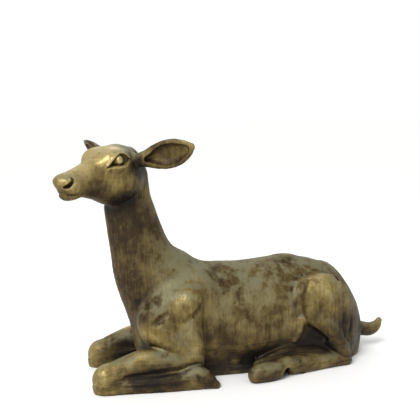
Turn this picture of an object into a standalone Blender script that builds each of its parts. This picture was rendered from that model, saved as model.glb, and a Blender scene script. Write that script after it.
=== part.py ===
"""A resting doe for the garden, cast in one piece: legs folded, head up and turned to its left.

Run with  blender --background --python part.py  or from Blender's text editor.
Metres, +Z up. The doe faces -X and its left side is -Y. Z is 0 at the flat underside.

The doe is built the way a modeller builds a maquette: an armature of limbs with oval sections,
lumps of clay for the muscles, hollows scooped out, and lines pressed in where forms meet.
Pellets of clay are laid on the armature and fused, and then the surface is pressed to the
smooth form, thinned out, and cut off flat where it stands.
"""

import math

import bmesh
import bpy
import numpy as np
from mathutils import Matrix, Vector

# The one driving size. The maquette below is measured in centimetres on a doe 70 cm tall,
# so every place and thickness of the figure is a share of its height.
HEIGHT = 0.70
CM = HEIGHT / 70.0

# How finely the form is made.
GRAIN = 0.60  # size of the cells that fuse the pellets, in maquette centimetres
TRIANGLES = 9200  # of the finished solid, about
PRESS_ROUNDS = 5
FINISH_ROUNDS = 3  # of pressing again, after the cells are made even
PATH_STEPS = 5  # samples between two stations of a limb
HEAD_SPARED = 0.5  # how much harder the head resists the thinning than the body
HEAD_THINS = 0.5  # how far the head is thinned, where the body is 1
HEAD_STARTS = 53.0  # the height where the head begins for this, in maquette centimetres
FURTHEST_PRESS = 1.5  # the most a vertex moves in one round, in maquette centimetres
REACH = 8.0  # how far outside itself a form still counts, in maquette centimetres
ROUGH_CUT = 1.0  # how far below the ground it is cut off before the thinning, in maquette centimetres
GROUND = 200.0  # the side of the block of ground that cuts it off, in maquette centimetres

# Where the head sits on the neck, and how it is held.
HEAD_AT = (-28.2, -0.8, 64.0)
HEAD_TURN = 34.0  # degrees to the doe's left
HEAD_DROP = 7.0  # degrees, nose down
HEAD_TILT = -1.5  # degrees, the left ear lower

# How the ears are held: the shares of forward, outward and up in the way each one runs from its
# root and in the way that its hollow faces, how far its tip lifts, and its share of the full breadth.
LEFT_EAR = ((-0.40, 0.90, 0.15), (0.91, 0.40, -0.08), 1.2, 1.0)
RIGHT_EAR = ((-0.33, 0.90, 0.01), (0.88, 0.78, -0.48), 3.0, 0.89)
EAR_LENGTH = 18.2  # in maquette centimetres
EAR_HOLLOW_OUT = 0.9  # from the ear's middle to the middle of its hollow, in maquette centimetres

FAR = 1.0  # the doe's right side is +Y
NEAR = -1.0
FAR_LEG_BACK = 2.6  # how far the right foreleg lies behind the left one

UP = (0, 0, 1)
FRONT = (-1, 0, 0)

# The mouth, from the front of the lips to its corner: forward, left, up on the head.
MOUTH = [(28.0, 0.8, -3.0), (26.0, 2.8, -3.4), (22.5, 3.6, -3.5), (19.5, 4.0, -2.9)]

BRONZE = (0.16, 0.115, 0.05, 1.0)
BRONZE_ROUGHNESS = 0.45
BRONZE_METALLIC = 0.8


def catmull(rows, steps):
    """Rows of numbers on a smooth line through the given rows."""
    rows = np.asarray(rows, float)
    padded = np.vstack([2 * rows[0] - rows[1], rows, 2 * rows[-1] - rows[-2]])
    out = []
    for i in range(len(rows) - 1):
        a, b, c, d = padded[i : i + 4]
        for t in np.arange(steps) / steps:
            bend = (2 * a - 5 * b + 4 * c - d) * t**2 + (3 * b - a - 3 * c + d) * t**3
            out.append(0.5 * (2 * b + (c - a) * t + bend))
    out.append(rows[-1])
    return np.array(out)


def unit(vectors):
    return vectors / np.maximum(np.linalg.norm(vectors, axis=-1, keepdims=True), 1e-9)


def oval_distance(off, radii):
    """How far a point stands off an oval, close to true near its surface."""
    radii = np.broadcast_to(radii, off.shape)
    scaled = np.sqrt(((off / radii) ** 2).sum(1))
    slope = np.sqrt(((off / radii**2) ** 2).sum(1))
    return scaled * (scaled - 1) / np.maximum(slope, 1e-6)


def merge(a, b, blend):
    """Joins two forms with a fillet about as wide as blend."""
    share = np.clip(0.5 + 0.5 * (b - a) / blend, 0, 1)
    return b + (a - b) * share - blend * share * (1 - share)


def nearest_on(line, points):
    """For each point, its squared distance to a line of points and the place along it."""
    best = np.full(len(points), 1e9)
    at = np.zeros(len(points))
    for i in range(len(line) - 1):
        a, run = line[i], line[i + 1] - line[i]
        t = np.clip((points - a) @ run / max(run @ run, 1e-9), 0, 1)
        gap = ((points - a - t[:, None] * run) ** 2).sum(1)
        closer = gap < best
        best[closer] = gap[closer]
        at[closer] = i + t[closer]
    return best, at


class Limb:
    """An oval-sectioned form along a smooth line.

    A station is x, y, z, half width, and the radius on each side of the width: the one that
    looks toward the given direction, then the other. A hollow limb is scooped out."""

    def __init__(self, stations, toward, blend, cap=1.0, hollow=False):
        path = catmull(stations, PATH_STEPS)
        self.line = path[:, :3]
        self.radii = np.maximum(path[:, 3:], 0.05)
        self.cap = cap
        self.blend = blend
        self.hollow = hollow
        along = unit(np.gradient(self.line, axis=0))
        toward = np.broadcast_to(np.asarray(toward, float), along.shape)
        up = unit(toward - (toward * along).sum(1, keepdims=True) * along)
        self.frame = np.stack([np.cross(up, along), up, along], axis=1)
        reach = self.radii.max() + REACH
        self.low, self.high = self.line.min(0) - reach, self.line.max(0) + reach

    def distance(self, points):
        at = nearest_on(self.line, points)[1]
        i = np.minimum(at.astype(int), len(self.line) - 2)
        t = (at - i)[:, None]
        off = points - (self.line[i] * (1 - t) + self.line[i + 1] * t)
        frame = self.frame[i] * (1 - t[..., None]) + self.frame[i + 1] * t[..., None]
        radii = self.radii[i] * (1 - t) + self.radii[i + 1] * t
        across, up, along = ((off * unit(frame[:, k])).sum(1) for k in range(3))
        width = radii[:, 0]
        height = np.where(up > 0, radii[:, 1], radii[:, 2])
        length = self.cap * (width + height) / 2
        return oval_distance(np.stack([across, up, along], 1), np.stack([width, height, length], 1))

    def change(self, total, points):
        if self.hollow:
            return -merge(-total, self.distance(points), self.blend)
        return merge(total, self.distance(points), self.blend)

    def pellets(self):
        if self.hollow:
            return
        for place, frame, (width, up, down) in zip(self.line, self.frame, self.radii):
            centre = place + frame[1] * (up - down) / 2
            yield centre, frame.T, (width, (up + down) / 2, min(width, up, down))


class Lump:
    """An egg of clay: its centre, its three radii and how it is turned, in degrees about X, Y, Z.

    A hollow one is scooped out."""

    def __init__(self, centre, radii, blend, turn=(0, 0, 0), axes=None, hollow=False):
        self.centre = np.asarray(centre, float)
        self.radii = np.asarray(radii, float)
        self.blend = blend
        self.hollow = hollow
        x, y, z = (Matrix.Rotation(math.radians(a), 3, k) for a, k in zip(turn, "XYZ"))
        base = np.eye(3) if axes is None else np.asarray(axes).T
        self.axes = base @ np.array(z @ y @ x)
        reach = self.radii.max() + REACH
        self.low, self.high = self.centre - reach, self.centre + reach

    def distance(self, points):
        return oval_distance((points - self.centre) @ self.axes, self.radii)

    def change(self, total, points):
        if self.hollow:
            return -merge(-total, self.distance(points), self.blend)
        return merge(total, self.distance(points), self.blend)

    def pellets(self):
        if not self.hollow:
            yield self.centre, self.axes, self.radii


class Line:
    """A line pressed into the clay, or a ridge raised on it where the depth is below 0."""

    def __init__(self, path, width, depth):
        self.line = catmull(path, PATH_STEPS)
        self.width = width
        self.depth = depth
        reach = 4.0 * width
        self.low, self.high = self.line.min(0) - reach, self.line.max(0) + reach

    def change(self, total, points):
        gap = nearest_on(self.line, points)[0]
        return total + self.depth * np.exp(-gap / self.width**2)

    def pellets(self):
        return ()


def sided(rows, side, back=0.0):
    """The same stations or points on the left or the right side."""
    return [(row[0] + back, row[1] * side, *row[2:]) for row in rows]


def head_axes():
    """The head's own axes: forward to the nose, to its left, and up."""
    turn, drop, tilt = (math.radians(a) for a in (HEAD_TURN, HEAD_DROP, HEAD_TILT))
    level = math.cos(drop)
    forward = Vector((-math.cos(turn) * level, -math.sin(turn) * level, -math.sin(drop)))
    left = Vector((math.sin(turn), -math.cos(turn), 0))
    up = forward.cross(left)
    left, up = (
        left * math.cos(tilt) + up * math.sin(tilt),
        up * math.cos(tilt) - left * math.sin(tilt),
    )
    return np.array([forward, left, up])


def on_head(forward, left, up):
    """A point measured from the nape along the head's own axes."""
    return np.array([forward, left, up]) @ head_axes() + np.array(HEAD_AT)


def head_line(rows, side, width, depth):
    return Line([on_head(f, l * side, u) for f, l, u in rows], width, depth)


def trunk():
    stations = [
        (-20.0, 0, 13.0, 10.5, 14.0, 14.0),
        (-14.0, 0, 13.0, 11.6, 17.4, 17.0),
        (-6.0, 0, 13.0, 12.6, 20.2, 19.0),
        (6.0, 0, 13.0, 13.4, 19.9, 20.0),
        (18.0, 0, 13.0, 13.2, 20.7, 20.0),
        (27.0, 0, 13.0, 12.4, 20.0, 20.0),
        (34.0, 0, 13.0, 11.6, 18.0, 18.0),
    ]
    return [
        Limb(stations, UP, 3.0, cap=0.62),
        Lump((21.2, 0, 32.7), (3.2, 3.6, 1.1), 1.8),
        Lump((30.0, 0, 7.0), (18.9, 10.8, 22.5), 3.0),
    ]


def neck():
    # The first radius is the throat's side and the second the nape's.
    stations = [
        (-14.0, 0, 20.0, 10.5, 15.0, 13.0),
        (-19.5, 0, 27.0, 8.8, 13.0, 13.0),
        (-23.5, 0, 33.0, 7.2, 10.7, 10.7),
        (-25.8, 0, 39.0, 6.2, 8.9, 8.7),
        (-27.8, -0.3, 46.5, 5.5, 7.9, 7.7),
        (-29.4, -0.7, 53.5, 5.1, 7.1, 6.9),
        (-29.6, -1.0, 60.0, 4.9, 6.6, 6.2),
    ]
    return [Limb(stations, FRONT, 4.0)]


def head():
    up = head_axes()[2]
    # forward, height of the axis, half width, up, down
    profile = [
        (1.0, 0.2, 4.6, 5.0, 5.5),
        (5.0, 0.0, 5.8, 6.6, 8.0),
        (9.0, -0.4, 6.0, 6.8, 9.8),
        (13.0, -0.8, 5.2, 6.0, 8.8),
        (17.0, -1.2, 4.2, 5.0, 6.0),
        (21.0, -1.4, 3.6, 4.1, 4.2),
        (24.0, -1.5, 3.4, 3.6, 3.8),
        (25.6, -1.5, 3.1, 3.2, 3.5),
    ]
    stations = [(*on_head(f, 0, u), w, high, low) for f, u, w, high, low in profile]
    forms = [
        Limb(stations, up, 2.5, cap=0.55),
        head_lump((26.2, 0, -0.2), (2.5, 3.1, 1.9), 1.6),
        head_lump((24.2, 0, -3.9), (3.2, 2.5, 1.5), 1.2),
    ]
    for side in (1, -1):
        forms += [
            head_lump((6.5, 3.2 * side, -3.6), (5.6, 3.4, 5.0), 2.0),
            head_lump((10.4, 4.1 * side, 3.2), (4.2, 2.4, 2.8), 2.4),
            head_lump((10.8, 6.5 * side, 3.1), (3.0, 1.7, 1.6), 0.4, hollow=True),
            head_lump((10.8, 5.0 * side, 3.1), (1.7, 1.8, 1.6), 0.3),
            head_lump((27.2, 2.8 * side, -0.5), (1.5, 0.9, 0.8), 0.4, hollow=True),
            head_line(MOUTH, side, 0.45, 0.45),
        ]
    return forms


def head_lump(centre, radii, blend, turn=(0, 0, 0), hollow=False):
    return Lump(on_head(*centre), radii, blend, turn, head_axes(), hollow)


def ears():
    forward, left, up = head_axes()
    # distance along the ear, half width, thickness inside, thickness outside
    leaf = [
        (-1.0, 1.9, 1.6, 1.7),
        (3.0, 2.2, 1.5, 1.8),
        (6.5, 3.4, 1.1, 1.9),
        (10.0, 4.1, 0.9, 1.8),
        (13.5, 3.8, 0.8, 1.5),
        (16.5, 2.4, 0.6, 1.0),
        (EAR_LENGTH, 0.9, 0.4, 0.6),
    ]
    scoop = [
        (5.6, 1.1, 1.5, 1.2),
        (9.5, 3.1, 1.5, 1.8),
        (13.2, 2.9, 1.5, 1.5),
        (16.0, 1.6, 1.2, 1.0),
    ]
    forms = []
    for side, (held, faces, lift, breadth) in ((1, LEFT_EAR), (-1, RIGHT_EAR)):
        own = np.array([forward, side * left, up])
        root = on_head(3.6, 4.2 * side, 1.6)
        along = unit(np.array(held) @ own)
        facing = np.array(faces) @ own
        facing = unit(facing - (facing @ along) * along)
        rise = unit(up - (up @ along) * along) * lift
        outer = [(*ear_middle(root, along, rise, d), w * breadth, a, b) for d, w, a, b in leaf]
        scooped = root + facing * EAR_HOLLOW_OUT
        inner = [(*ear_middle(scooped, along, rise, d), w * breadth, a, b) for d, w, a, b in scoop]
        forms.append(Limb(outer, facing, 1.0, cap=0.6))
        forms.append(Limb(inner, facing, 0.4, cap=0.8, hollow=True))
    return forms


def ear_middle(root, along, rise, distance):
    """A point on the ear's middle line, which curves up toward the tip."""
    return root + along * distance + rise * (max(distance, 0) / EAR_LENGTH) ** 3


def foreleg(side, back):
    """The folded foreleg on one side; back is how far it lies behind the other."""
    shoulder = [
        (-9.5, 6.5, 27.0, 4.0, 5.5, 6.0),
        (-16.5, 8.2, 22.0, 4.6, 6.8, 6.8),
        (-22.5, 8.8, 17.5, 5.2, 6.6, 6.6),
    ]
    upper_arm = [
        (-22.5, 9.0, 16.5, 5.0, 5.0, 5.0),
        (-18.5, 11.0, 12.0, 4.4, 4.6, 4.6),
        (-14.5, 12.6, 8.8, 3.3, 3.4, 3.2),
    ]
    triceps_tail = [
        (-13.6, 10.6, 19.0, 3.6, 4.4, 3.8),
        (-13.6, 12.0, 13.5, 3.8, 4.4, 3.8),
        (-13.6, 13.0, 9.0, 3.0, 3.6, 3.4),
    ]
    forearm = [
        (-12.5, 12.8, 6.8, 2.8, 2.6, 2.8),
        (-20.0, 12.8, 7.2, 3.5, 3.6, 3.6),
        (-27.5, 12.4, 7.4, 3.7, 4.2, 3.8),
        (-33.0, 12.0, 6.4, 3.5, 3.6, 3.4),
        (-38.0, 11.6, 5.0, 3.3, 3.0, 3.2),
    ]
    cannon = [
        (-38.5, 11.8, 2.2, 3.2, 2.8, 5.0),
        (-32.5, 13.0, 2.0, 2.7, 2.8, 5.0),
        (-26.0, 14.3, 2.0, 2.6, 2.8, 5.0),
        (-20.5, 15.0, 2.2, 2.9, 3.0, 5.0),
        (-16.5, 15.9, 2.6, 2.4, 2.6, 5.0),
    ]
    hoof = [
        (-16.5, 15.9, 3.0, 2.4, 2.6, 4.5),
        (-13.0, 16.5, 3.4, 2.7, 3.1, 5.0),
        (-10.0, 17.1, 2.2, 2.5, 2.2, 3.4),
        (-8.0, 17.7, 1.0, 1.9, 1.0, 2.0),
    ]
    knee = (-38.8 + back, 11.5 * side, 3.8)
    forms = [
        Limb(sided(shoulder, side, back), (-0.6, 0, 0.8), 3.0),
        Limb(sided(upper_arm, side, back), (-0.6, 0, 0.8), 2.0),
        Lump((-14.6 + back, 10.2 * side, 22.4), (5.4, 4.5, 6.4), 1.6, turn=(0, 20, 0)),
        Limb(sided(triceps_tail, side, back), FRONT, 1.2),
        Limb(sided(forearm, side, back), UP, 1.2),
        Lump(knee, (3.8, 3.5, 4.2), 1.0),
        Limb(sided(cannon, side, back), UP, 0.6),
        Limb(sided(hoof, side, back), UP, 0.6),
        Lump((-22.8 + back, 14.4 * side, 20.6), (3.8, 1.5, 1.3), 0.6, turn=(0, -33, 0), hollow=True),
    ]
    behind = [(-8.8, 12.2, 29.0), (-8.6, 13.2, 22.0), (-8.6, 13.6, 14.0), (-9.2, 13.6, 7.0)]
    crease = [(-9.8, 13.5, 24.0), (-13.6, 14.5, 20.8), (-18.3, 14.8, 17.1)]
    forms += [
        Line(sided(behind, side, back), 1.2, 0.9),
        Line(sided(crease, side, back), 0.8, 0.8),
    ]
    return forms


def hind_leg(side):
    thigh = [
        (34.5, 8.0, 19.5, 5.4, 7.6, 8.5),
        (30.0, 9.4, 20.2, 5.6, 8.2, 8.4),
        (25.2, 10.6, 20.6, 4.5, 6.8, 6.0),
    ]
    shank = [
        (25.0, 12.0, 17.5, 3.4, 4.4, 3.6),
        (30.0, 12.6, 12.0, 3.2, 4.4, 3.2),
        (34.4, 12.8, 6.6, 2.7, 3.2, 2.8),
        (36.6, 12.6, 3.4, 2.2, 2.4, 2.4),
    ]
    cannon = [
        (37.2, 12.4, 1.8, 2.0, 2.0, 2.6),
        (31.0, 13.4, 2.6, 1.9, 2.4, 2.8),
        (23.0, 14.8, 2.9, 1.9, 2.5, 3.0),
        (17.5, 15.6, 3.3, 2.2, 2.9, 3.2),
    ]
    hoof = [
        (15.5, 16.4, 4.2, 2.2, 2.2, 2.2),
        (10.5, 17.4, 3.2, 2.7, 2.7, 3.6),
        (6.0, 17.8, 2.6, 2.7, 3.0, 3.2),
        (3.8, 18.0, 2.2, 2.2, 2.4, 2.8),
    ]
    web = [
        (7.0, 14.6, 3.2, 2.0, 2.4, 3.0),
        (12.0, 13.4, 3.6, 2.4, 3.4, 4.0),
        (16.5, 12.6, 4.2, 2.6, 4.1, 4.2),
        (22.0, 12.2, 4.2, 2.6, 3.7, 4.2),
        (27.0, 12.2, 3.8, 2.4, 3.5, 4.0),
        (31.5, 12.8, 2.6, 2.0, 2.2, 3.0),
    ]
    forms = [
        Lump((34.4, 6.8 * side, 12.0), (8.6, 6.6, 12.8), 4.0),
        Limb(sided(thigh, side), UP, 2.6, cap=0.85),
        Lump((25.2, 11.8 * side, 23.5), (4.2, 2.5, 4.8), 2.4),
        Lump((31.2, 10.2 * side, 25.6), (3.2, 2.6, 2.6), 2.4),
        Limb(sided(web, side), UP, 0.8),
        Limb(sided(shank, side), (0.7, 0, 0.7), 1.0),
        Limb(sided(cannon, side), UP, 0.7),
        Limb(sided(hoof, side), UP, 0.7, cap=0.7),
        Lump((14.1, 18.2 * side, 1.4), (1.5, 3.0, 2.2), 0.4, hollow=True),
    ]
    before = [
        (22.6, 11.8, 28.6),
        (20.6, 12.6, 26.2),
        (19.4, 13.0, 23.4),
        (19.4, 13.2, 20.0),
        (20.4, 13.4, 16.8),
    ]
    fold = [(21.5, 13.2, 16.4), (21.3, 13.3, 12.6), (19.2, 13.2, 9.6)]
    furrow = [(16.4, 13.0, 25.0), (16.0, 13.4, 20.8), (15.6, 13.6, 15.0)]
    forms += [
        Line(sided(before, side), 1.1, 0.9),
        Line(sided(fold, side), 0.8, -0.9),
        Line(sided(furrow, side), 1.4, 0.4),
    ]
    return forms


def tail():
    stations = [
        (46.0, 0, 8.2, 2.6, 2.6, 2.8),
        (50.4, 0, 6.8, 2.0, 2.3, 2.4),
        (53.6, 0, 6.4, 1.7, 2.2, 2.3),
        (55.8, 0, 7.4, 1.3, 1.9, 1.8),
        (56.9, 0, 9.0, 0.8, 1.1, 1.0),
    ]
    return [Limb(stations, UP, 1.2)]


def maquette():
    forms = trunk() + neck() + head() + ears()
    forms += foreleg(NEAR, 0.0) + foreleg(FAR, FAR_LEG_BACK)
    forms += hind_leg(NEAR) + hind_leg(FAR)
    forms += tail()
    return forms


def clay_distance(forms, points):
    """The smooth form's distance at each point, in maquette centimetres."""
    total = np.full(len(points), 50.0)
    for form in forms:
        near = ((points > form.low) & (points < form.high)).all(1)
        if near.any():
            total[near] = form.change(total[near], points[near])
    return total


def fuse_pellets(forms):
    """Eggs laid along every form, in maquette centimetres, and fused into one closed mesh of cells."""
    mesh = bmesh.new()
    for form in forms:
        for centre, axes, radii in form.pellets():
            place = Matrix.Translation(Vector(centre)) @ Matrix(axes.tolist()).to_4x4()
            stretch = Matrix.Diagonal((*[float(r) for r in radii], 1.0))
            bmesh.ops.create_icosphere(mesh, subdivisions=2, radius=1.0, matrix=place @ stretch)
    data = bpy.data.meshes.new("doe")
    mesh.to_mesh(data)
    mesh.free()
    doe = bpy.data.objects.new("doe", data)
    bpy.context.scene.collection.objects.link(doe)
    remesh(doe)
    return doe


def remesh(doe):
    cells = doe.modifiers.new("cells", "REMESH")
    cells.mode = "VOXEL"
    cells.voxel_size = GRAIN
    bake_modifiers(doe)


def bake_modifiers(doe):
    graph = bpy.context.evaluated_depsgraph_get()
    graph.update()
    done = bpy.data.meshes.new_from_object(doe.evaluated_get(graph))
    doe.modifiers.clear()
    old, doe.data = doe.data, done
    bpy.data.meshes.remove(old)


def press(doe, forms, rounds):
    """Moves every vertex onto the smooth form, along the surface's own normals."""
    mesh = doe.data
    places = np.empty(len(mesh.vertices) * 3, np.float32)
    normals = np.empty(len(mesh.vertices) * 3, np.float32)
    for _ in range(rounds):
        mesh.vertices.foreach_get("co", places)
        mesh.vertex_normals.foreach_get("vector", normals)
        points = places.reshape(-1, 3).astype(float)
        step = clay_distance(forms, points).clip(-FURTHEST_PRESS, FURTHEST_PRESS)
        points -= normals.reshape(-1, 3) * step[:, None]
        mesh.vertices.foreach_set("co", points.astype(np.float32).ravel())
        mesh.update()


def thin_out(doe):
    """Fewer triangles where the form is plain, with more of them kept on the head."""
    thins = doe.vertex_groups.new(name="thins")
    head = [v.index for v in doe.data.vertices if v.co.z > HEAD_STARTS]
    body = [v.index for v in doe.data.vertices if v.co.z <= HEAD_STARTS]
    thins.add(body, 1.0, "REPLACE")
    thins.add(head, HEAD_THINS, "REPLACE")
    doe.data.calc_loop_triangles()
    thin = doe.modifiers.new("thin out", "DECIMATE")
    thin.ratio = TRIANGLES / len(doe.data.loop_triangles)
    thin.vertex_group = thins.name
    thin.vertex_group_factor = HEAD_SPARED
    bake_modifiers(doe)
    doe.vertex_groups.clear()


def cut_off(doe, height):
    """Cuts the doe off flat at a height, with a block of ground as the cutter."""
    mesh = bmesh.new()
    middle = Matrix.Translation((0, 0, height - GROUND / 2))
    bmesh.ops.create_cube(mesh, size=GROUND, matrix=middle)
    data = bpy.data.meshes.new("ground")
    mesh.to_mesh(data)
    mesh.free()
    ground = bpy.data.objects.new("ground", data)
    cut = doe.modifiers.new("cut off", "BOOLEAN")
    cut.operation = "DIFFERENCE"
    cut.object = ground
    bake_modifiers(doe)
    bpy.data.objects.remove(ground)


def bronze():
    material = bpy.data.materials.new("patinated bronze")
    material.use_nodes = True
    shader = material.node_tree.nodes["Principled BSDF"]
    shader.inputs["Base Color"].default_value = BRONZE
    shader.inputs["Roughness"].default_value = BRONZE_ROUGHNESS
    shader.inputs["Metallic"].default_value = BRONZE_METALLIC
    return material


def main():
    for obj in list(bpy.data.objects):
        bpy.data.objects.remove(obj)
    statue = bpy.data.collections.new("deer garden statue")
    bpy.context.scene.collection.children.link(statue)
    forms = maquette()
    doe = fuse_pellets(forms)
    statue.objects.link(doe)
    bpy.context.scene.collection.objects.unlink(doe)
    press(doe, forms, PRESS_ROUNDS)
    remesh(doe)
    press(doe, forms, FINISH_ROUNDS)
    cut_off(doe, -ROUGH_CUT)
    thin_out(doe)
    cut_off(doe, 0)
    doe.data.transform(Matrix.Scale(CM, 4))
    doe.data.materials.append(bronze())
    doe.data.shade_smooth()


if __name__ == "__main__":
    main()
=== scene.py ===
import math

import bmesh
import bpy
import numpy as np
from mathutils import Matrix, Vector, noise


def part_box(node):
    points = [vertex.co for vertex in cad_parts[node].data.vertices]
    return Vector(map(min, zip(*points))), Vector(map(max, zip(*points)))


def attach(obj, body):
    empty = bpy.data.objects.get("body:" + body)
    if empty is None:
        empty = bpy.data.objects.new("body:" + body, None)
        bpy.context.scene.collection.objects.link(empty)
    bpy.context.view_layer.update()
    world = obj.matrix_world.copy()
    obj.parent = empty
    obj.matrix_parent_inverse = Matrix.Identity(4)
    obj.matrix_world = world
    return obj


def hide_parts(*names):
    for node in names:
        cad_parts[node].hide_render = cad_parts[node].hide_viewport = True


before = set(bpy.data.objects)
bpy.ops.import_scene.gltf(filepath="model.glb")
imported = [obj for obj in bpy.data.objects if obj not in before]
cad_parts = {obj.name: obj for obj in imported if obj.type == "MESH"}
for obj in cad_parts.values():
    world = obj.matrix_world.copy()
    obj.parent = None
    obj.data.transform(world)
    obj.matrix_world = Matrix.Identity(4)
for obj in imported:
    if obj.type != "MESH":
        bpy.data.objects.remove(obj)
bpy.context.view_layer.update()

# A resting doe cast in bronze. The form is measured in centimetres on a doe 71.4 cm tall.
# Sides: +1 is the doe's right (far) side, -1 its left (near) one.
statue = {
    "ownHeight": 71.41,
    "grain": 0.75,  # size of the first even cells
    "headFrom": 52.0,
    "soleTo": 0.4,  # below this it is the flat underside
    "groundRim": 0.35,
    "mostTriangles": 194000,
}
lowCorner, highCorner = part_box("doe")
cm = (highCorner.z - lowCorner.z) / statue["ownHeight"]
upward, toFront = (0, 0, 1), (-1, 0, 0)
print("frame loaded, one centimetre of the form is", round(cm, 5), "m")


# Clay: every form gives its distance, and blends into what is there

def smoothLine(rows, steps=5):
    rows = np.asarray(rows, float)
    padded = np.vstack([2 * rows[0] - rows[1], rows, 2 * rows[-1] - rows[-2]])
    out = []
    for i in range(len(rows) - 1):
        a, b, c, d = padded[i : i + 4]
        for t in np.arange(steps) / steps:
            bend = (2 * a - 5 * b + 4 * c - d) * t**2 + (3 * b - a - 3 * c + d) * t**3
            out.append(0.5 * (2 * b + (c - a) * t + bend))
    out.append(rows[-1])
    return np.array(out)


def unit(vectors):
    return vectors / np.maximum(np.linalg.norm(vectors, axis=-1, keepdims=True), 1e-9)


def ovalDistance(off, radii):
    radii = np.broadcast_to(radii, off.shape)
    scaled = np.sqrt(((off / radii) ** 2).sum(1))
    slope = np.sqrt(((off / radii**2) ** 2).sum(1))
    return scaled * (scaled - 1) / np.maximum(slope, 1e-6)


def merge(a, b, blend):
    share = np.clip(0.5 + 0.5 * (b - a) / blend, 0, 1)
    return b + (a - b) * share - blend * share * (1 - share)


def nearestOn(line, points):
    best = np.full(len(points), 1e9)
    at = np.zeros(len(points))
    for i in range(len(line) - 1):
        a, run = line[i], line[i + 1] - line[i]
        t = np.clip((points - a) @ run / max(run @ run, 1e-9), 0, 1)
        gap = ((points - a - t[:, None] * run) ** 2).sum(1)
        closer = gap < best
        best[closer] = gap[closer]
        at[closer] = i + t[closer]
    return best, at


def added(distance, blend, hollow):
    if hollow:
        return lambda total, points: -merge(-total, distance(points), blend)
    return lambda total, points: merge(total, distance(points), blend)


def limb(stations, toward, blend, cap=1.0, hollow=False, reach=8.0):
    # station: x, y, z, half width, radius on the side it looks toward, radius on the other
    path = smoothLine(stations)
    line = path[:, :3]
    radii = np.maximum(path[:, 3:], 0.05)
    along = unit(np.gradient(line, axis=0))
    look = np.broadcast_to(np.asarray(toward, float), along.shape)
    up = unit(look - (look * along).sum(1, keepdims=True) * along)
    frames = np.stack([np.cross(up, along), up, along], axis=1)

    def distance(points):
        at = nearestOn(line, points)[1]
        i = np.minimum(at.astype(int), len(line) - 2)
        t = (at - i)[:, None]
        off = points - (line[i] * (1 - t) + line[i + 1] * t)
        turned = frames[i] * (1 - t[..., None]) + frames[i + 1] * t[..., None]
        size = radii[i] * (1 - t) + radii[i + 1] * t
        across, rise, onward = ((off * unit(turned[:, k])).sum(1) for k in range(3))
        width = size[:, 0]
        height = np.where(rise > 0, size[:, 1], size[:, 2])
        length = cap * (width + height) / 2
        return ovalDistance(np.stack([across, rise, onward], 1), np.stack([width, height, length], 1))

    far = radii.max() + reach
    change = added(distance, blend, hollow)
    return {"low": line.min(0) - far, "high": line.max(0) + far, "change": change}


def egg(centre, radii, blend, turn=(0, 0, 0), axes=None, hollow=False, reach=8.0):
    centre, radii = np.asarray(centre, float), np.asarray(radii, float)
    x, y, z = (Matrix.Rotation(math.radians(a), 3, k) for a, k in zip(turn, "XYZ"))
    turned = (np.eye(3) if axes is None else np.asarray(axes).T) @ np.array(z @ y @ x)
    far = radii.max() + reach
    change = added(lambda points: ovalDistance((points - centre) @ turned, radii), blend, hollow)
    return {"low": centre - far, "high": centre + far, "change": change}


def groove(path, width, depth):
    # a line pressed in, or a ridge where the depth is below 0
    line = smoothLine(path)
    far = 4.0 * width
    change = lambda total, points: total + depth * np.exp(-nearestOn(line, points)[0] / width**2)
    return {"low": line.min(0) - far, "high": line.max(0) + far, "change": change}


def sided(rows, side, back=0.0):
    return [(row[0] + back, row[1] * side, *row[2:]) for row in rows]


def placed(shape, side, back=0.0):
    centre, *rest = shape
    return *sided([centre], side, back), *rest


def lines(paths, side, back=0.0):
    return [groove(sided(path, side, back), width, depth) for path, width, depth in paths]


# The head's own axes: forward to the nose, to its left, and up

headHeld = {"at": (-28.2, -0.8, 64.0), "turn": 34.0, "drop": 7.0, "tilt": -1.5}


def headAxes():
    turn, drop, tilt = (math.radians(headHeld[k]) for k in ("turn", "drop", "tilt"))
    level = math.cos(drop)
    forward = Vector((-math.cos(turn) * level, -math.sin(turn) * level, -math.sin(drop)))
    left = Vector((math.sin(turn), -math.cos(turn), 0))
    up = forward.cross(left)
    tilted = left * math.cos(tilt) + up * math.sin(tilt)
    return np.array([forward, tilted, up * math.cos(tilt) - left * math.sin(tilt)])


def onHead(forward, left, up):
    return np.array([forward, left, up]) @ headAxes() + np.array(headHeld["at"])


def headEgg(centre, radii, blend, turn=(0, 0, 0), hollow=False):
    return egg(onHead(*centre), radii, blend, turn, headAxes(), hollow)


def headGroove(line, side):
    rows, width, depth = line
    return groove([onHead(f, l * side, u) for f, l, u in rows], width, depth)


def headLimb(rows, side, blend, cap=1.0, hollow=False):
    stations = [(*onHead(f, l * side, u), *radii) for f, l, u, *radii in rows]
    return limb(stations, headAxes()[2], blend, cap, hollow)


# Trunk and neck

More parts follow.
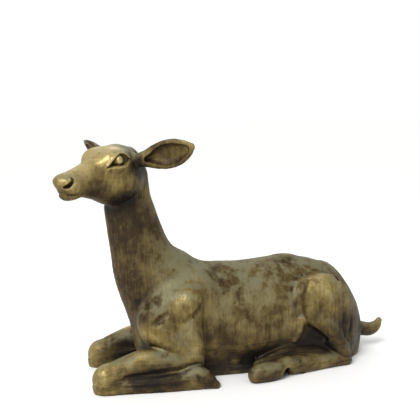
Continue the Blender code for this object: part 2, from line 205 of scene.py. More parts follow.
trunkShape = {
    "spine": [
        (-20.0, 0, 13.0, 10.5, 14.0, 14.0),
        (-14.0, 0, 13.0, 11.6, 17.4, 17.0),
        (-6.0, 0, 13.0, 12.6, 20.2, 19.0),
        (6.0, 0, 13.0, 13.4, 19.9, 20.0),
        (18.0, 0, 13.0, 13.2, 20.7, 20.0),
        (27.0, 0, 13.0, 12.4, 20.0, 20.0),
        (34.0, 0, 13.0, 11.6, 18.0, 18.0),
    ],
    "croupBump": ((21.2, 0, 32.7), (3.2, 3.6, 1.1), 1.8),
    "rump": ((30.0, 0, 7.0), (18.9, 10.8, 22.5), 3.0),
    # the throat's radius comes first, then the nape's
    "neck": [
        (-14.0, 0, 20.0, 10.5, 15.0, 13.0),
        (-19.5, 0, 27.0, 8.8, 13.0, 13.0),
        (-23.5, 0, 33.0, 7.2, 10.7, 10.7),
        (-25.8, 0, 39.0, 6.2, 8.9, 8.7),
        (-27.8, -0.3, 46.5, 5.5, 7.9, 7.7),
        (-29.4, -0.7, 53.5, 5.1, 7.1, 6.9),
        (-29.6, -1.0, 60.0, 4.9, 6.6, 6.2),
    ],
    "bellyKnot": ((0.6, 11.4, 4.4), (1.6, 1.2, 1.3), 1.2),
    "bellyCrease": ([(-7.0, 12.6, 7.6), (-4.0, 12.8, 6.6), (-1.5, 12.8, 6.6)], 0.7, 0.4),
    "tail": [
        (46.0, 0, 8.2, 2.6, 2.6, 2.8),
        (50.4, 0, 6.8, 2.0, 2.3, 2.4),
        (53.6, 0, 6.4, 1.7, 2.2, 2.3),
        (55.8, 0, 7.4, 1.3, 1.9, 1.8),
        (56.9, 0, 9.0, 0.8, 1.1, 1.0),
    ],
}


def trunkForms():
    return [
        limb(trunkShape["spine"], upward, blend=3.0, cap=0.62),
        egg(*trunkShape["croupBump"]),
        egg(*trunkShape["rump"]),
        limb(trunkShape["neck"], toFront, blend=4.0),
    ]


def bellyForms(side):
    return [egg(*placed(trunkShape["bellyKnot"], side))] + lines([trunkShape["bellyCrease"]], side)


# Head and ears, measured on the head's axes

headShape = {
    # forward, height of the axis, half width, up, down
    "profile": [
        (1.0, 0.2, 4.6, 5.0, 5.5),
        (5.0, 0.0, 5.8, 6.6, 8.0),
        (9.0, -0.4, 6.0, 6.8, 9.8),
        (13.0, -0.8, 5.2, 6.0, 8.8),
        (17.0, -1.2, 4.2, 5.0, 6.0),
        (21.0, -1.4, 3.6, 4.1, 4.2),
        (24.0, -1.5, 3.4, 3.6, 3.8),
        (25.6, -1.5, 3.1, 3.2, 3.5),
    ],
    "nosePad": ((26.2, 0, -0.2), (2.5, 3.1, 1.9), 1.2),
    "chin": ((24.2, 0, -4.1), (3.2, 2.5, 1.5), 1.0),
    "cheek": ((6.5, 3.2, -3.6), (5.6, 3.4, 5.0), 2.0),
    "brow": ((10.4, 4.1, 3.2), (4.2, 2.4, 2.8), 2.4),
    "socket": [
        (14.4, 5.3, 1.9, 0.6, 0.3, 0.3),
        (12.8, 5.9, 2.7, 1.4, 1.0, 0.9),
        (11.0, 6.5, 3.2, 2.1, 1.7, 1.5),
        (9.0, 6.6, 3.3, 2.0, 1.5, 1.5),
        (7.2, 6.4, 2.9, 1.0, 0.5, 0.6),
    ],
    "eyeball": ((10.9, 5.1, 3.2), (1.45, 1.8, 1.45), 0.1),
    # a pressed line: its path, its width and its depth, below 0 for a ridge
    "upperLid": (
        [(14.4, 5.2, 2.3), (12.6, 5.9, 4.3), (10.9, 6.3, 5.25), (8.8, 6.4, 5.0), (6.8, 6.4, 3.2)],
        0.34,
        -0.36,
    ),
    "lowerLid": (
        [(14.2, 5.1, 1.4), (12.6, 5.8, 1.4), (10.9, 6.2, 1.3), (8.8, 6.4, 1.4), (6.8, 6.4, 2.6)],
        0.3,
        -0.26,
    ),
    "tearDuct": ([(14.0, 5.6, 2.0), (14.8, 4.9, 1.3), (15.5, 4.5, 0.7)], 0.28, 0.4),
    "eyeFolds": [
        ([(13.6, 5.4, 0.6), (11.8, 6.0, -0.1), (9.6, 6.3, 0.2)], 0.4, 0.28),
        ([(12.8, 5.8, 5.2), (10.8, 6.5, 6.1), (8.2, 6.4, 5.5)], 0.5, 0.25),
        ([(6.8, 6.9, 4.2), (5.9, 6.9, 2.8), (6.4, 6.8, 1.2)], 0.4, 0.3),
        ([(4.6, 6.8, 3.6), (4.2, 7.0, 1.6), (4.6, 7.0, -0.6)], 0.8, 0.5),
    ],
    "jawHollow": ([(12.0, 3.6, -8.4), (8.6, 4.4, -10.2), (5.0, 5.0, -9.6)], 1.0, 0.9),
    "nostril": [
        (27.5, 2.2, -1.3, 0.9, 0.5, 0.5),
        (26.5, 2.5, -0.9, 1.4, 0.65, 0.65),
        (25.6, 2.9, 0.0, 1.1, 0.5, 0.5),
        (25.3, 2.9, 1.0, 0.5, 0.35, 0.35),
    ],
    "nostrilRim": (
        [(27.0, 3.1, -1.9), (25.8, 3.6, -1.2), (24.8, 3.6, 0.0), (24.8, 3.1, 1.2)],
        0.5,
        -0.22,
    ),
    "padEdge": ([(24.9, 2.9, 1.5), (25.6, 1.8, 2.2), (25.9, 0.0, 2.4)], 0.4, 0.15),
    "philtrum": ([(29.0, 0, -0.6), (28.9, 0, -1.8), (28.4, 0, -3.2)], 0.3, 0.22),
    "mouth": (
        [
            (28.4, 0.0, -3.2),
            (27.5, 1.1, -3.4),
            (26.4, 2.1, -3.7),
            (24.0, 2.9, -4.0),
            (21.2, 3.1, -4.3),
            (18.8, 3.5, -4.2),
        ],
        0.28,
        0.42,
    ),
    "cheekFurrow": ([(19.8, 3.8, -1.5), (17.2, 4.1, -2.1), (14.4, 4.8, -3.2)], 0.8, 0.5),
}

earShape = {
    "root": (3.6, 4.2, 1.6),
    # which way each runs and faces, in shares of forward, outward and up, its tip's lift and its breadth
    "left": ((-0.40, 0.90, 0.15), (0.91, 0.40, -0.08), 1.2, 1.0),
    "right": ((-0.33, 0.90, 0.01), (0.88, 0.78, -0.48), 3.0, 0.89),
    "length": 18.2,
    # along the ear, half width, thickness inside, thickness outside
    "leaf": [
        (-1.0, 1.9, 1.6, 1.7),
        (3.0, 2.2, 1.5, 1.8),
        (6.5, 3.4, 1.1, 1.9),
        (10.0, 4.1, 0.9, 1.8),
        (13.5, 3.8, 0.8, 1.5),
        (16.5, 2.4, 0.6, 1.0),
        (18.2, 0.9, 0.4, 0.6),
    ],
    "hollowOut": 0.9,
    "hollow": [
        (4.8, 0.9, 1.5, 1.7),
        (9.0, 2.9, 1.5, 2.1),
        (12.8, 2.8, 1.5, 1.8),
        (16.0, 1.5, 1.2, 1.1),
    ],
    "veinsAcross": (-1.4, -0.5, 0.5, 1.4),
    # along the ear, share of that spread, and how far below the middle
    "veinRun": [(6.5, 0.4, 0.4), (10.5, 1.0, 0.6), (14.5, 0.9, 0.5)],
    "vein": (0.28, 0.14),
}


def headForms():
    shape = headShape
    stations = [(f, 0, u, *size) for f, u, *size in shape["profile"]]
    forms = [
        headLimb(stations, 1, blend=2.5, cap=0.55),
        headEgg(*shape["nosePad"]),
        headEgg(*shape["chin"]),
        headGroove(shape["philtrum"], 1),
    ]
    for side in (1, -1):
        forms += [
            headEgg(*placed(shape["cheek"], side)),
            headEgg(*placed(shape["brow"], side)),
            headLimb(shape["socket"], side, blend=0.2, cap=0.8, hollow=True),
            headGroove(shape["upperLid"], side),
            headGroove(shape["lowerLid"], side),
            headEgg(*placed(shape["eyeball"], side)),
            headGroove(shape["tearDuct"], side),
            headGroove(shape["jawHollow"], side),
            headLimb(shape["nostril"], side, blend=0.25, cap=0.8, hollow=True),
        ]
        for name in ("nostrilRim", "padEdge", "mouth", "cheekFurrow"):
            forms.append(headGroove(shape[name], side))
        forms += [headGroove(line, side) for line in shape["eyeFolds"]]
    return forms


def earForms():
    forward, left, up = headAxes()
    shape = earShape
    forms = []
    for side, (held, faces, lift, breadth) in ((1, shape["left"]), (-1, shape["right"])):
        own = np.array([forward, side * left, up])
        f, l, u = shape["root"]
        root = onHead(f, l * side, u)
        along = unit(np.array(held) @ own)
        facing = np.array(faces) @ own
        facing = unit(facing - (facing @ along) * along)
        across = np.cross(along, facing)
        rise = unit(up - (up @ along) * along) * lift
        middle = lambda d: root + along * d + rise * (max(d, 0) / shape["length"]) ** 3
        hollow = facing * shape["hollowOut"]
        outer = [(*middle(d), width * breadth, *depth) for d, width, *depth in shape["leaf"]]
        inner = [(*middle(d) + hollow, width * breadth, *depth) for d, width, *depth in shape["hollow"]]
        forms.append(limb(outer, facing, blend=1.0, cap=0.6))
        forms.append(limb(inner, facing, blend=0.3, cap=0.8, hollow=True))
        for spread in shape["veinsAcross"]:
            run = [
                middle(d) + across * spread * share - facing * sunk
                for d, share, sunk in shape["veinRun"]
            ]
            forms.append(groove(run, *shape["vein"]))
    return forms


# Legs, on the left side's numbers with y outward

forelegShape = {
    "farLegBack": 2.6,  # the right foreleg lies this much further back
    "armFaces": (-0.6, 0, 0.8),
    "shoulder": [
        (-9.5, 6.5, 27.0, 4.0, 5.5, 6.0),
        (-16.5, 8.2, 22.0, 4.6, 6.8, 6.8),
        (-22.5, 8.8, 17.5, 5.2, 6.6, 6.6),
    ],
    "upperArm": [
        (-22.5, 9.0, 16.5, 5.0, 5.0, 5.0),
        (-18.5, 11.0, 12.0, 4.4, 4.6, 4.6),
        (-14.5, 12.6, 8.8, 3.3, 3.4, 3.2),
    ],
    "triceps": ((-14.6, 10.2, 22.4), (5.4, 4.5, 6.4), 1.6, (0, 20, 0)),
    "tricepsTail": [
        (-13.6, 10.6, 19.0, 3.6, 4.4, 3.8),
        (-13.6, 12.0, 13.5, 3.8, 4.4, 3.8),
        (-13.6, 13.0, 9.0, 3.0, 3.6, 3.4),
    ],
    "forearm": [
        (-12.5, 12.8, 6.8, 2.8, 2.6, 2.8),
        (-20.0, 12.8, 7.2, 3.5, 3.6, 3.6),
        (-27.5, 12.4, 7.4, 3.7, 4.2, 3.8),
        (-33.0, 12.0, 6.4, 3.5, 3.6, 3.4),
        (-38.0, 11.6, 5.0, 3.3, 3.0, 3.2),
    ],
    "knee": ((-38.8, 11.5, 3.8), (3.8, 3.5, 4.2), 1.0),
    "cannon": [
        (-38.5, 11.8, 2.2, 3.2, 2.8, 5.0),
        (-32.5, 13.0, 2.0, 2.7, 2.8, 5.0),
        (-26.0, 14.3, 2.0, 2.6, 2.8, 5.0),
        (-20.5, 15.0, 2.2, 2.9, 3.0, 5.0),
        (-16.5, 15.9, 2.6, 2.4, 2.6, 5.0),
    ],
    "hoof": [
        (-16.5, 15.9, 3.0, 2.4, 2.6, 4.5),
        (-13.0, 16.5, 3.4, 2.7, 3.1, 5.0),
        (-10.0, 17.1, 2.2, 2.5, 2.2, 3.4),
        (-8.0, 17.7, 1.0, 1.9, 1.0, 2.0),
    ],
    "shoulderPit": ((-22.8, 14.4, 20.6), (3.9, 1.7, 1.3), 0.5, (0, -33, 0)),
    "lines": [
        ([(-8.8, 12.2, 29.0), (-8.6, 13.2, 22.0), (-8.6, 13.6, 14.0), (-9.2, 13.6, 7.0)], 1.1, 1.1),
        ([(-9.8, 13.5, 24.0), (-13.6, 14.5, 20.8), (-18.3, 14.8, 17.1)], 0.65, 1.0),
        ([(-18.2, 14.6, 17.2), (-16.4, 15.4, 13.6), (-15.6, 15.8, 10.6)], 0.6, 0.3),
        ([(-34.0, 14.6, 5.2), (-28.0, 15.6, 5.4), (-22.0, 16.4, 5.9), (-16.3, 17.0, 6.3)], 0.6, 0.5),
        ([(-33.0, 15.6, 3.4), (-27.0, 16.7, 3.5), (-22.4, 17.4, 3.7)], 0.35, 0.3),
        ([(-34.0, 15.2, 2.2), (-28.0, 16.6, 2.1), (-23.0, 17.4, 2.2)], 0.35, 0.25),
        ([(-14.6, 18.6, 5.4), (-13.6, 19.0, 3.4), (-13.4, 19.2, 1.0)], 0.4, 0.3),
    ],
}

hindLegShape = {
    "haunch": ((34.4, 6.8, 12.0), (8.6, 6.6, 12.8), 4.0),
    "thigh": [
        (34.5, 8.0, 19.5, 5.4, 7.6, 8.5),
        (30.0, 9.4, 20.2, 5.6, 8.2, 8.4),
        (25.2, 10.6, 20.6, 4.5, 6.8, 6.0),
    ],
    "kneecap": ((25.2, 11.8, 23.5), (4.2, 2.5, 4.8), 2.4),
    "thighTop": ((31.2, 10.2, 25.6), (3.2, 2.6, 2.6), 2.4),
    "web": [
        (7.0, 14.6, 3.2, 2.0, 2.4, 3.0),
        (12.0, 13.4, 3.6, 2.4, 3.4, 4.0),
        (16.5, 12.6, 4.2, 2.6, 4.1, 4.2),
        (22.0, 12.2, 4.2, 2.6, 3.7, 4.2),
        (27.0, 12.2, 3.8, 2.4, 3.5, 4.0),
        (31.5, 12.8, 2.6, 2.0, 2.2, 3.0),
    ],
    "shankFaces": (0.7, 0, 0.7),
    "shank": [
        (25.0, 12.0, 17.5, 3.4, 4.4, 3.6),
        (30.0, 12.6, 12.0, 3.2, 4.4, 3.2),
        (34.4, 12.8, 6.6, 2.7, 3.2, 2.8),
        (36.6, 12.6, 3.4, 2.2, 2.4, 2.4),
    ],
    "cannon": [
        (37.2, 12.4, 1.8, 2.0, 2.0, 2.6),
        (31.0, 13.4, 2.6, 1.9, 2.4, 2.8),
        (23.0, 14.8, 2.9, 1.9, 2.5, 3.0),
        (17.5, 15.6, 3.3, 2.2, 2.9, 3.2),
    ],
    "hoof": [
        (15.5, 16.4, 4.2, 2.2, 2.2, 2.2),
        (10.5, 17.4, 3.2, 2.7, 2.7, 3.6),
        (6.0, 17.8, 2.6, 2.7, 3.0, 3.2),
        (3.8, 18.0, 2.2, 2.2, 2.4, 2.8),
    ],
    "notch": ((14.1, 18.2, 1.4), (1.5, 3.0, 2.2), 0.4),
    "hipPit": ((34.2, 9.8, 26.8), (1.2, 1.4, 1.4), 0.6),
    "pocket": [
        (22.8, 14.2, 13.0, 1.2, 1.2, 1.4),
        (25.2, 14.0, 11.2, 1.7, 1.9, 2.0),
        (28.8, 13.9, 9.4, 1.4, 1.2, 1.2),
    ],
    "lines": [
        ([(22.2, 11.8, 28.6), (20.0, 12.8, 26.0), (19.0, 13.3, 22.8), (18.9, 13.5, 18.6)], 0.7, -0.35),
        ([(23.0, 12.0, 27.4), (21.3, 13.0, 24.6), (20.9, 13.4, 21.2), (21.2, 13.5, 17.6)], 0.9, 0.9),
        ([(21.2, 13.3, 16.6), (21.2, 13.3, 12.8), (19.2, 13.2, 9.4)], 0.8, -0.8),
        ([(35.4, 13.0, 18.5), (35.8, 13.6, 13.0), (35.8, 13.8, 8.0)], 0.6, 0.45),
        ([(38.6, 11.8, 17.0), (38.4, 12.4, 12.0), (37.4, 13.0, 7.5)], 0.6, 0.45),
        ([(38.6, 13.0, 9.5), (40.2, 12.2, 5.0), (40.8, 11.8, 1.0)], 0.9, 0.6),
        ([(16.4, 13.0, 25.0), (16.0, 13.4, 20.8), (15.6, 13.6, 15.0)], 1.4, 0.4),
        ([(33.5, 15.4, 1.7), (26.0, 16.4, 2.3), (18.7, 17.4, 2.9)], 0.35, 0.3),
        ([(31.2, 14.6, 5.2), (23.0, 16.2, 5.6), (16.3, 17.2, 6.1)], 0.5, 0.35),
    ],
}


def forelegForms(side, back):
    shape = forelegShape
    rising = shape["armFaces"]
    return [
        limb(sided(shape["shoulder"], side, back), rising, blend=3.0),
        limb(sided(shape["upperArm"], side, back), rising, blend=2.0),
        egg(*placed(shape["triceps"], side, back)),
        limb(sided(shape["tricepsTail"], side, back), toFront, blend=1.2),
        limb(sided(shape["forearm"], side, back), upward, blend=1.2),
        egg(*placed(shape["knee"], side, back)),
        limb(sided(shape["cannon"], side, back), upward, blend=0.6),
        limb(sided(shape["hoof"], side, back), upward, blend=0.6),
        egg(*placed(shape["shoulderPit"], side, back), hollow=True),
    ] + lines(shape["lines"], side, back)


def hindLegForms(side):
    shape = hindLegShape
    return [
        egg(*placed(shape["haunch"], side)),
        limb(sided(shape["thigh"], side), upward, blend=2.6, cap=0.85),
        egg(*placed(shape["kneecap"], side)),
        egg(*placed(shape["thighTop"], side)),
        limb(sided(shape["web"], side), upward, blend=0.8),
        limb(sided(shape["shank"], side), shape["shankFaces"], blend=1.0),
        limb(sided(shape["cannon"], side), upward, blend=0.7),
        limb(sided(shape["hoof"], side), upward, blend=0.7, cap=0.7),
        egg(*placed(shape["notch"], side), hollow=True),
        egg(*placed(shape["hipPit"], side), hollow=True),
        limb(sided(shape["pocket"], side), upward, blend=0.5, cap=0.8, hollow=True),
    ] + lines(shape["lines"], side)


def doeForms():
    forms = trunkForms() + headForms() + earForms()
    forms += forelegForms(-1, 0.0) + forelegForms(1, forelegShape["farLegBack"])
    forms += hindLegForms(-1) + hindLegForms(1)
    forms += bellyForms(-1) + bellyForms(1)
    forms.append(limb(trunkShape["tail"], upward, blend=1.2))
    return forms


def clayDistance(forms, points, farAway=50.0):
    total = np.full(len(points), farAway)
    for form in forms:
        near = ((points > form["low"]) & (points < form["high"])).all(1)
        if near.any():
            total[near] = form["change"](total[near], points[near])
    return -merge(-total, points[:, 2], statue["groundRim"])  # the ground cuts it off


# The fine surface

def settle(obj):
    graph = bpy.context.evaluated_depsgraph_get()
    graph.update()
    done = bpy.data.meshes.new_from_object(obj.evaluated_get(graph))
    obj.modifiers.clear()
    old, obj.data = obj.data, done
    bpy.data.meshes.remove(old)


def surfaceOf(mesh):
    places = np.empty(len(mesh.vertices) * 3, np.float32)
    normals = np.empty(len(mesh.vertices) * 3, np.float32)
    mesh.vertices.foreach_get("co", places)
    mesh.vertex_normals.foreach_get("vector", normals)
    return places.reshape(-1, 3), normals.reshape(-1, 3)


def moveTo(mesh, places):
    mesh.vertices.foreach_set("co", places.astype(np.float32).ravel())
    mesh.update()


def press(mesh, forms, rounds=3, farthest=0.8):
    for _ in range(rounds):
        places, normals = surfaceOf(mesh)
        points = places.astype(float)
        points -= normals * clayDistance(forms, points).clip(-farthest, farthest)[:, None]
        points[:, 2] = points[:, 2].clip(0, None)
        moveTo(mesh, points)


def refine(obj, inside):
    mesh = bmesh.new()
    mesh.from_mesh(obj.data)
    edges = [edge for edge in mesh.edges if all(inside(vert.co) for vert in edge.verts)]
    bmesh.ops.subdivide_edges(mesh, edges=edges, cuts=1, use_grid_fill=True)
    mesh.to_mesh(obj.data)
    mesh.free()


def untangle(obj, sharpest=1.5, rounds=4):
    # cells folded over each other below the head are drawn even, to be pressed again
    mesh = bmesh.new()
    mesh.from_mesh(obj.data)
    folds = [edge for edge in mesh.edges if edge.calc_face_angle(0.0) > sharpest]
    onBody = lambda vert: statue["soleTo"] < vert.co.z < statue["headFrom"]
    core = {vert for edge in folds for vert in edge.verts if onBody(vert)}
    around = {edge.other_vert(vert) for vert in core for edge in vert.link_edges} | core
    for _ in range(rounds):
        aboveSole = [vert for vert in around if vert.co.z > statue["soleTo"]]
        bmesh.ops.smooth_vert(
            mesh,
            verts=sorted(aboveSole, key=lambda vert: vert.index),
            factor=0.5,
            use_axis_x=True,
            use_axis_y=True,
            use_axis_z=True,
        )
    mesh.to_mesh(obj.data)
    mesh.free()
    print(len(core), "folded places drawn even")


# the underside, the back and the bare flank keep the coarse cells
plain = {"backFrom": -10, "backAbove": 30, "flank": (-7, 13), "flankAbove": 9}
# how far around each eye, and around this place on the nose, they are finest
finest = {"aroundEye": 4.2, "nose": (26.6, 0, -1.5), "aroundNose": 4.6}


def onCarving(place):
    underneath = place.z < statue["soleTo"]
    back = place.x > plain["backFrom"] and place.z > plain["backAbove"]
    flank = plain["flank"][0] < place.x < plain["flank"][1] and place.z > plain["flankAbove"]
    return not (underneath or back or flank)


def onHeadAndEars(place):
    return place.z > statue["headFrom"]


def onEyeOrNose(place):
    f, l, u = headShape["eyeball"][0]
    for side in (1, -1):
        if (place - Vector(onHead(f, l * side, u))).length < finest["aroundEye"]:
            return True
    return (place - Vector(onHead(*finest["nose"]))).length < finest["aroundNose"]


brushwork = {
    # patterns to the centimetre across and along the hair, and height
    "locks": (1.0, 0.16, 0.055),
    "strands": (2.1, 0.30, 0.030),
    "dents": (0.32, 0.32, 0.060),
    "lyingBelow": 11.0,  # below this the hair runs along the legs
    "fullFrom": 1.5,  # the strokes fade out from here down to the ground
}


def brush(mesh):
    # the sculptor's strokes: hanging on the body, lying along the legs
    places, normals = surfaceOf(mesh)
    lying = places[:, 2] < brushwork["lyingBelow"]
    height = np.zeros(len(places))
    for name in ("locks", "strands", "dents"):
        across, along, size = brushwork[name]
        stretch = np.where(lying[:, None], (along, across, across), (across, across, along))
        height += size * np.array([noise.noise(place) for place in (places * stretch).tolist()])
    height *= (places[:, 2] / brushwork["fullFrom"]).clip(0, 1)
    moveTo(mesh, places + normals * height[:, None])


def castDoe(forms):
    mesh = bmesh.new()
    mesh.from_mesh(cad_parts["doe"].data)
    bmesh.ops.remove_doubles(mesh, verts=mesh.verts, dist=cm * 0.001)
    mesh.transform(Matrix.Scale(1 / cm, 4))
    data = bpy.data.meshes.new("bronzeDoe")
    mesh.to_mesh(data)
    mesh.free()
    doe = bpy.data.objects.new("bronzeDoe", data)
    bpy.context.scene.collection.objects.link(doe)
    cells = doe.modifiers.new("cells", "REMESH")
    cells.mode = "VOXEL"
    cells.voxel_size = statue["grain"]
    settle(doe)
    press(doe.data, forms)
    untangle(doe)
    refine(doe, onCarving)
    press(doe.data, forms)
    untangle(doe)
    press(doe.data, forms, rounds=2)
    print("body pressed,", len(doe.data.polygons), "faces")
    for part in (onHeadAndEars, onEyeOrNose):
        refine(doe, part)
        press(doe.data, forms)
    brush(doe.data)
    print("head pressed,", len(doe.data.polygons), "faces")
    # flat places give up cells, so that the whole stays under the statue's most triangles
    thinned = doe.modifiers.new("thinned", "DECIMATE")
    thinned.ratio = statue["mostTriangles"] / sum(len(face.vertices) - 2 for face in doe.data.polygons)
    settle(doe)
    print("thinned to", len(doe.data.polygons), "faces")
    return doe


wearAndLightSpots = {
    # place, reach and how far it is made brighter, as rubbed wear and painted light, or below 0 darker,
    # as painted shade and browner patina
    "head": [
        ((21.0, 0.0, 3.0), 6.0, 0.70),
        ((12.0, 1.5, 6.0), 6.5, 0.70),
        ((12.5, 5.5, -2.5), 4.0, 0.42),
        ((-1.0, 11.0, 2.5), 4.5, -0.55),
        ((-3.0, 15.5, 3.5), 4.0, -0.45),
        ((10.9, 6.9, 3.2), 1.3, 0.55),
        ((27.5, 0.0, 0.8), 2.6, 0.25),
        ((8.5, 4.0, -10.0), 3.5, -0.60),
        ((4.4, 7.0, 0.6), 2.6, -0.35),
        ((18.4, 3.6, -4.6), 2.4, -0.40),
    ],
    "body": [
        ((-28.0, 5.0, 46.0), 12.0, -0.16),
        ((-30.0, 6.0, 27.0), 9.0, -0.22),
        ((-14.5, 13.0, 27.0), 6.0, 0.32),
        ((-15.5, 14.0, 21.0), 4.5, 0.20),
        ((-28.0, 12.5, 12.0), 6.0, 0.75),
        ((-30.0, 8.0, 8.0), 4.5, -0.55),
        ((-39.5, 12.0, 6.5), 4.5, 0.55),
        ((-12.0, 15.5, 11.0), 4.0, 0.25),
        ((12.0, 13.0, 24.0), 9.0, 0.12),
        ((2.0, 13.0, 5.0), 8.0, -0.30),
        ((27.0, 12.0, 27.0), 5.0, 0.75),
        ((26.0, 13.5, 7.5), 4.5, -0.50),
        ((19.0, 14.0, 7.8), 4.5, -0.45),
        ((28.0, 13.0, 11.0), 3.5, -0.50),
        ((-26.0, 17.0, 3.0), 6.5, -0.55),
        ((32.0, 12.0, 24.0), 4.5, 0.20),
        ((31.0, 14.0, 16.0), 5.0, 0.12),
        ((45.0, 7.0, 12.0), 9.0, -0.22),
        ((33.0, 13.5, 9.0), 5.0, -0.35),
        ((25.0, 16.0, 4.0), 5.0, 0.15),
        ((-10.0, 18.5, 3.0), 4.0, -0.25),
        ((12.0, 14.5, 7.0), 4.0, -0.35),
    ],
}


# the tone shift from the spots above: rubbed wear and painted light where positive, painted shade and
# browner patina where negative
def wearAndLightAt(places):
    onBody = places * (1, 0, 1) + abs(places) * (0, 1, 0)
    offHead = (places - headHeld["at"]) @ headAxes().T
    offHead = offHead * (1, 0, 1) + abs(offHead) * (0, 1, 0)
    total = np.zeros(len(places))
    for near, spots in ((offHead, wearAndLightSpots["head"]), (onBody, wearAndLightSpots["body"])):
        for centre, reach, amount in spots:
            total += amount * np.exp(-((near - centre) ** 2).sum(1) / reach**2)
    return total


# how far out from the surface a hollow is felt for, and how far in an edge is
feelers = {"out": (0.6, 1.6, 4.5), "in": (0.7, 2.2)}


def markSurface(doe, forms):
    # how deep a place lies (for dark patina and painted shade in hollows), how sharp an edge it is, how
    # far it looks up, and its wear with painted light and shade
    mesh = doe.data
    places, normals = (values.astype(float) for values in surfaceOf(mesh))
    hollowPatinaAndShade = np.zeros(len(places))
    # hollows are found by how near the form closes in around a place; they get dark patina and painted
    # shade
    for off in feelers["out"]:
        hollowPatinaAndShade += (1 - clayDistance(forms, places + normals * off) / off).clip(0, 1) / 3
    edge = np.zeros(len(places))
    for off in feelers["in"]:
        edge += (1 + clayDistance(forms, places - normals * off) / off).clip(0, 1) / 2
    marks = {"hollowPatinaAndShade": hollowPatinaAndShade, "edge": edge, "sky": normals[:, 2], "wearAndLight": wearAndLightAt(places)}
    for name, values in marks.items():
        mark = mesh.attributes.new(name, "FLOAT", "POINT")
        mark.data.foreach_set("value", values.astype(np.float32))
        print(name, "at 10, 50, 90 and 98%:", np.percentile(values, (10, 50, 90, 98)).round(2))


# Bronze

bronze = {
    # tone, from a hollow in dark patina and painted shade to a rubbed edge, and its colour
    "tones": [
        (0.00, (0.007, 0.004, 0.002)),
        (0.28, (0.036, 0.021, 0.006)),
        (0.50, (0.102, 0.070, 0.020)),
        (0.72, (0.215, 0.158, 0.050)),
        (1.00, (0.480, 0.375, 0.160)),
    ],
    "bloom": (0.158, 0.152, 0.090),
    "middle": 0.46,
    # what each mark does to the tone: wear with painted light and shade, rubbed edges, dark patina with
    # painted shade in hollows, and painted light on upward faces
    "byWearAndLight": 0.75,
    "byEdge": 0.55,
    "byHollowPatinaAndShade": -0.95,
    "bySky": 0.06,
    # patterns to the metre, and what each does to the tone
    "blotches": (9.0, 0.26),
    "mottles": (38.0, 0.16),
    "speckle": (300.0, 0.10),
    "scratches": ((420.0, 420.0, 34.0), 0.08),
    # hair hangs on the body and lies along the legs, and changes over between these heights in metres
    "hanging": (130.0, 130.0, 11.0),
    "lying": (11.0, 130.0, 130.0),
    "changeover": (0.09, 0.13),
    "byHair": 0.16,
    # bloom lies from the first upward look to the second, and goes where the wear marks paint shade and
    # brown patina, and where they rub it bright and paint light
    "bloomFacing": (-0.15, 0.75),
    "bloomPatches": (0.25, 0.75),
    "bloomOffWearAndLight": ((-0.35, 0.0), (0.75, 0.25)),
    "bloomMost": 0.85,
    "bareFrom": (0.35, 0.95),
    # at the dark, added where it is bare, and added under bloom
    "metallic": (0.25, 0.45, -0.2),
    "roughness": (0.50, -0.12, 0.12),
    "roughMottles": 0.08,
    "relief": {"mottles": 0.35, "speckle": 0.12, "scratches": 0.16},
    "reliefHair": 0.5,
    "bump": {"Distance": 0.0016, "Strength": 0.55},
}


def addNode(tree, kind, inputs, **settings):
    made = tree.nodes.new("ShaderNode" + kind)
    for name, value in settings.items():
        setattr(made, name, value)
    for name, value in inputs.items():
        if isinstance(value, bpy.types.NodeSocket):
            tree.links.new(value, made.inputs[name])
        else:
            made.inputs[name].default_value = value
    return made


def mask(tree, value, low, high):
    inputs = {"Value": value, "From Min": low, "From Max": high}
    return addNode(tree, "MapRange", inputs, interpolation_type="SMOOTHSTEP").outputs["Result"]


def pattern(tree, at, scale, detail=3.0):
    # even noise from 0 to 1; three numbers stretch it
    if isinstance(scale, tuple):
        at = addNode(tree, "Mapping", {"Vector": at, "Scale": scale}).outputs["Vector"]
        scale = 1.0
    made = addNode(tree, "TexNoise", {"Vector": at, "Scale": scale, "Detail": detail, "Roughness": 0.6})
    return mask(tree, made.outputs["Fac"], 0.30, 0.70)


def between(tree, share, a, b):
    inputs = {0: share, 2: a, 3: b}
    return addNode(tree, "Mix", inputs, data_type="FLOAT").outputs[0]


def tinted(tree, share, a, b):
    return addNode(tree, "Mix", {0: share, 6: a, 7: b}, data_type="RGBA").outputs[2]


def summed(tree, start, parts):
    total = start
    for value, amount in parts:
        inputs = {0: value, 1: amount, 2: total}
        total = addNode(tree, "Math", inputs, operation="MULTIPLY_ADD").outputs[0]
    return total


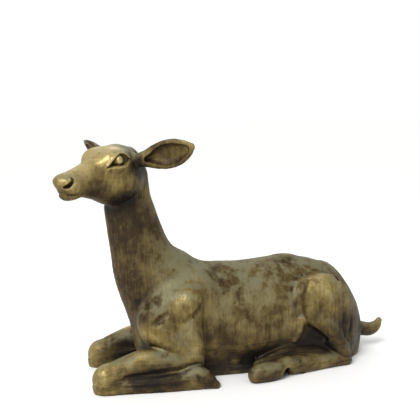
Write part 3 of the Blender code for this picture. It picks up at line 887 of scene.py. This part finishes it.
def patinatedBronze():
    material = bpy.data.materials.new("patinatedBronze")
    material.use_nodes = True
    tree = material.node_tree
    shader = tree.nodes["Principled BSDF"]
    shader.inputs["Specular IOR Level"].default_value = 0.25
    at = addNode(tree, "TexCoord", {}).outputs["Object"]
    height = addNode(tree, "SeparateXYZ", {"Vector": at}).outputs["Z"]
    marks = {}
    for name in ("hollowPatinaAndShade", "edge", "sky", "wearAndLight"):
        marks[name] = addNode(tree, "Attribute", {}, attribute_name=name).outputs["Fac"]

    names = ("blotches", "mottles", "speckle", "scratches")
    patterns = {name: pattern(tree, at, bronze[name][0]) for name in names}
    lying, hanging = (pattern(tree, at, bronze[name]) for name in ("lying", "hanging"))
    hair = between(tree, mask(tree, height, *bronze["changeover"]), lying, hanging)

    parts = [(patterns[name], bronze[name][1]) for name in names]
    parts.append((hair, bronze["byHair"]))
    start = bronze["middle"] - sum(amount for _, amount in parts) / 2
    # the marks below paint light and shade into the tone: wear spots with painted light and shade,
    # rubbed edges, dark patina with painted shade in hollows, and painted light on upward faces
    parts += [
        (marks["wearAndLight"], bronze["byWearAndLight"]),
        (marks["edge"], bronze["byEdge"]),
        (marks["hollowPatinaAndShade"], bronze["byHollowPatinaAndShade"]),
        (marks["sky"], bronze["bySky"]),
    ]
    tone = summed(tree, start, parts)

    ramp = addNode(tree, "ValToRGB", {"Fac": tone})
    stops = ramp.color_ramp.elements
    while len(stops) < len(bronze["tones"]):
        stops.new(0.5)
    for stop, (position, colour) in zip(stops, bronze["tones"]):
        stop.position = position
        stop.color = (*colour, 1)

    # grey-green bloom where rain stands, broken up by the mottles
    bloom = mask(tree, marks["sky"], *bronze["bloomFacing"])
    patches = summed(tree, 0.0, [(patterns["mottles"], 0.5), (patterns["blotches"], 0.5)])
    masks = [mask(tree, patches, *bronze["bloomPatches"])]
    # bloom is taken off under painted shade and where it is rubbed bright under painted light
    masks += [mask(tree, marks["wearAndLight"], low, high) for low, high in bronze["bloomOffWearAndLight"]]
    for kept in (*masks, bronze["bloomMost"]):
        bloom = addNode(tree, "Math", {0: bloom, 1: kept}, operation="MULTIPLY").outputs[0]
    colour = tinted(tree, bloom, ramp.outputs["Color"], (*bronze["bloom"], 1))
    tree.links.new(colour, shader.inputs["Base Color"])

    bare = mask(tree, tone, *bronze["bareFrom"])
    start, byBare, byBloom = bronze["metallic"]
    metallic = summed(tree, start, [(bare, byBare), (bloom, byBloom)])
    tree.links.new(metallic, shader.inputs["Metallic"])
    start, byBare, byBloom = bronze["roughness"]
    mottled = (patterns["mottles"], bronze["roughMottles"])
    roughness = summed(tree, start, [(bare, byBare), mottled, (bloom, byBloom)])
    tree.links.new(roughness, shader.inputs["Roughness"])

    parts = [(patterns[name], share) for name, share in bronze["relief"].items()]
    relief = summed(tree, 0.0, [(hair, bronze["reliefHair"])] + parts)
    bump = addNode(tree, "Bump", {"Height": relief, **bronze["bump"]})
    tree.links.new(bump.outputs["Normal"], shader.inputs["Normal"])
    return material


# Floor, light and camera

paleFloor = {"halfWidth": 60.0, "colour": (0.92, 0.92, 0.91), "roughness": 0.8}


def stageFloor():
    mesh = bmesh.new()
    bmesh.ops.create_grid(mesh, x_segments=1, y_segments=1, size=paleFloor["halfWidth"])
    data = bpy.data.meshes.new("floor")
    mesh.to_mesh(data)
    mesh.free()
    floor = bpy.data.objects.new("floor", data)
    bpy.context.scene.collection.objects.link(floor)
    material = bpy.data.materials.new("paleFloor")
    material.use_nodes = True
    shader = material.node_tree.nodes["Principled BSDF"]
    shader.inputs["Base Color"].default_value = (*paleFloor["colour"], 1)
    shader.inputs["Roughness"].default_value = paleFloor["roughness"]
    data.materials.append(material)


studio = {
    "around": 0.62,  # what lights the doe, and what the camera sees behind it
    "backdrop": 1.0,
    "sun": ((-1.5, -1.5, 2.0), 26.0, 2.3),  # where it stands, how wide in degrees, and strength
    # place, aim, size and strength, in metres and watts
    "key": ((-1.9, -2.2, 2.6), (0, 0, 0.3), 1.4, 26),
    "back": ((0.6, 2.4, 2.2), (0, 0, 0.3), 1.8, 18),
}


def hang(light, place, aim=(0, 0, 0)):
    lamp = bpy.data.objects.new(light.name, light)
    bpy.context.scene.collection.objects.link(lamp)
    lamp.location = place
    lamp.rotation_euler = (Vector(aim) - Vector(place)).to_track_quat("-Z", "Y").to_euler()


def lightStudio():
    world = bpy.data.worlds.new("studio")
    bpy.context.scene.world = world
    world.use_nodes = True
    tree = world.node_tree
    seen = addNode(tree, "LightPath", {}).outputs["Is Camera Ray"]
    background = tree.nodes["Background"]
    background.inputs["Color"].default_value = (1, 1, 1, 1)
    strength = between(tree, seen, studio["around"], studio["backdrop"])
    tree.links.new(strength, background.inputs["Strength"])
    place, width, power = studio["sun"]
    sun = bpy.data.lights.new("sun", "SUN")
    sun.angle = math.radians(width)
    sun.energy = power
    hang(sun, place)
    for name in ("key", "back"):
        place, aim, size, power = studio[name]
        light = bpy.data.lights.new(name, "AREA")
        light.size = size
        light.energy = power
        hang(light, place, aim)


photoView = {
    "lens": 62.0,
    "sensor": 36.0,
    "imageSide": 420,
    "place": (-74.92, -206.83, 77.95),  # in centimetres of the form
    "turn": -19.0,
    "horizonAt": 115,  # the image row that the level line falls on
}


def setCamera():
    lens = bpy.data.cameras.new("camera")
    lens.lens = photoView["lens"]
    lens.sensor_width = photoView["sensor"]
    camera = bpy.data.objects.new("camera", lens)
    bpy.context.scene.collection.objects.link(camera)
    focus = photoView["lens"] / photoView["sensor"] * photoView["imageSide"]
    drop = math.atan((photoView["imageSide"] / 2 - photoView["horizonAt"]) / focus)
    camera.location = Vector(photoView["place"]) * cm
    camera.rotation_euler = (math.pi / 2 - drop, 0, math.radians(photoView["turn"]))
    bpy.context.scene.camera = camera


forms = doeForms()
doe = castDoe(forms)
markSurface(doe, forms)
doe.data.transform(Matrix.Scale(cm, 4))
doe.data.shade_smooth()
doe.data.materials.clear()
doe.data.materials.append(patinatedBronze())
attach(doe, "root")
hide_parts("doe")
stageFloor()
lightStudio()
setCamera()
bpy.context.scene.view_settings.view_transform = "Standard"
print("dressed")
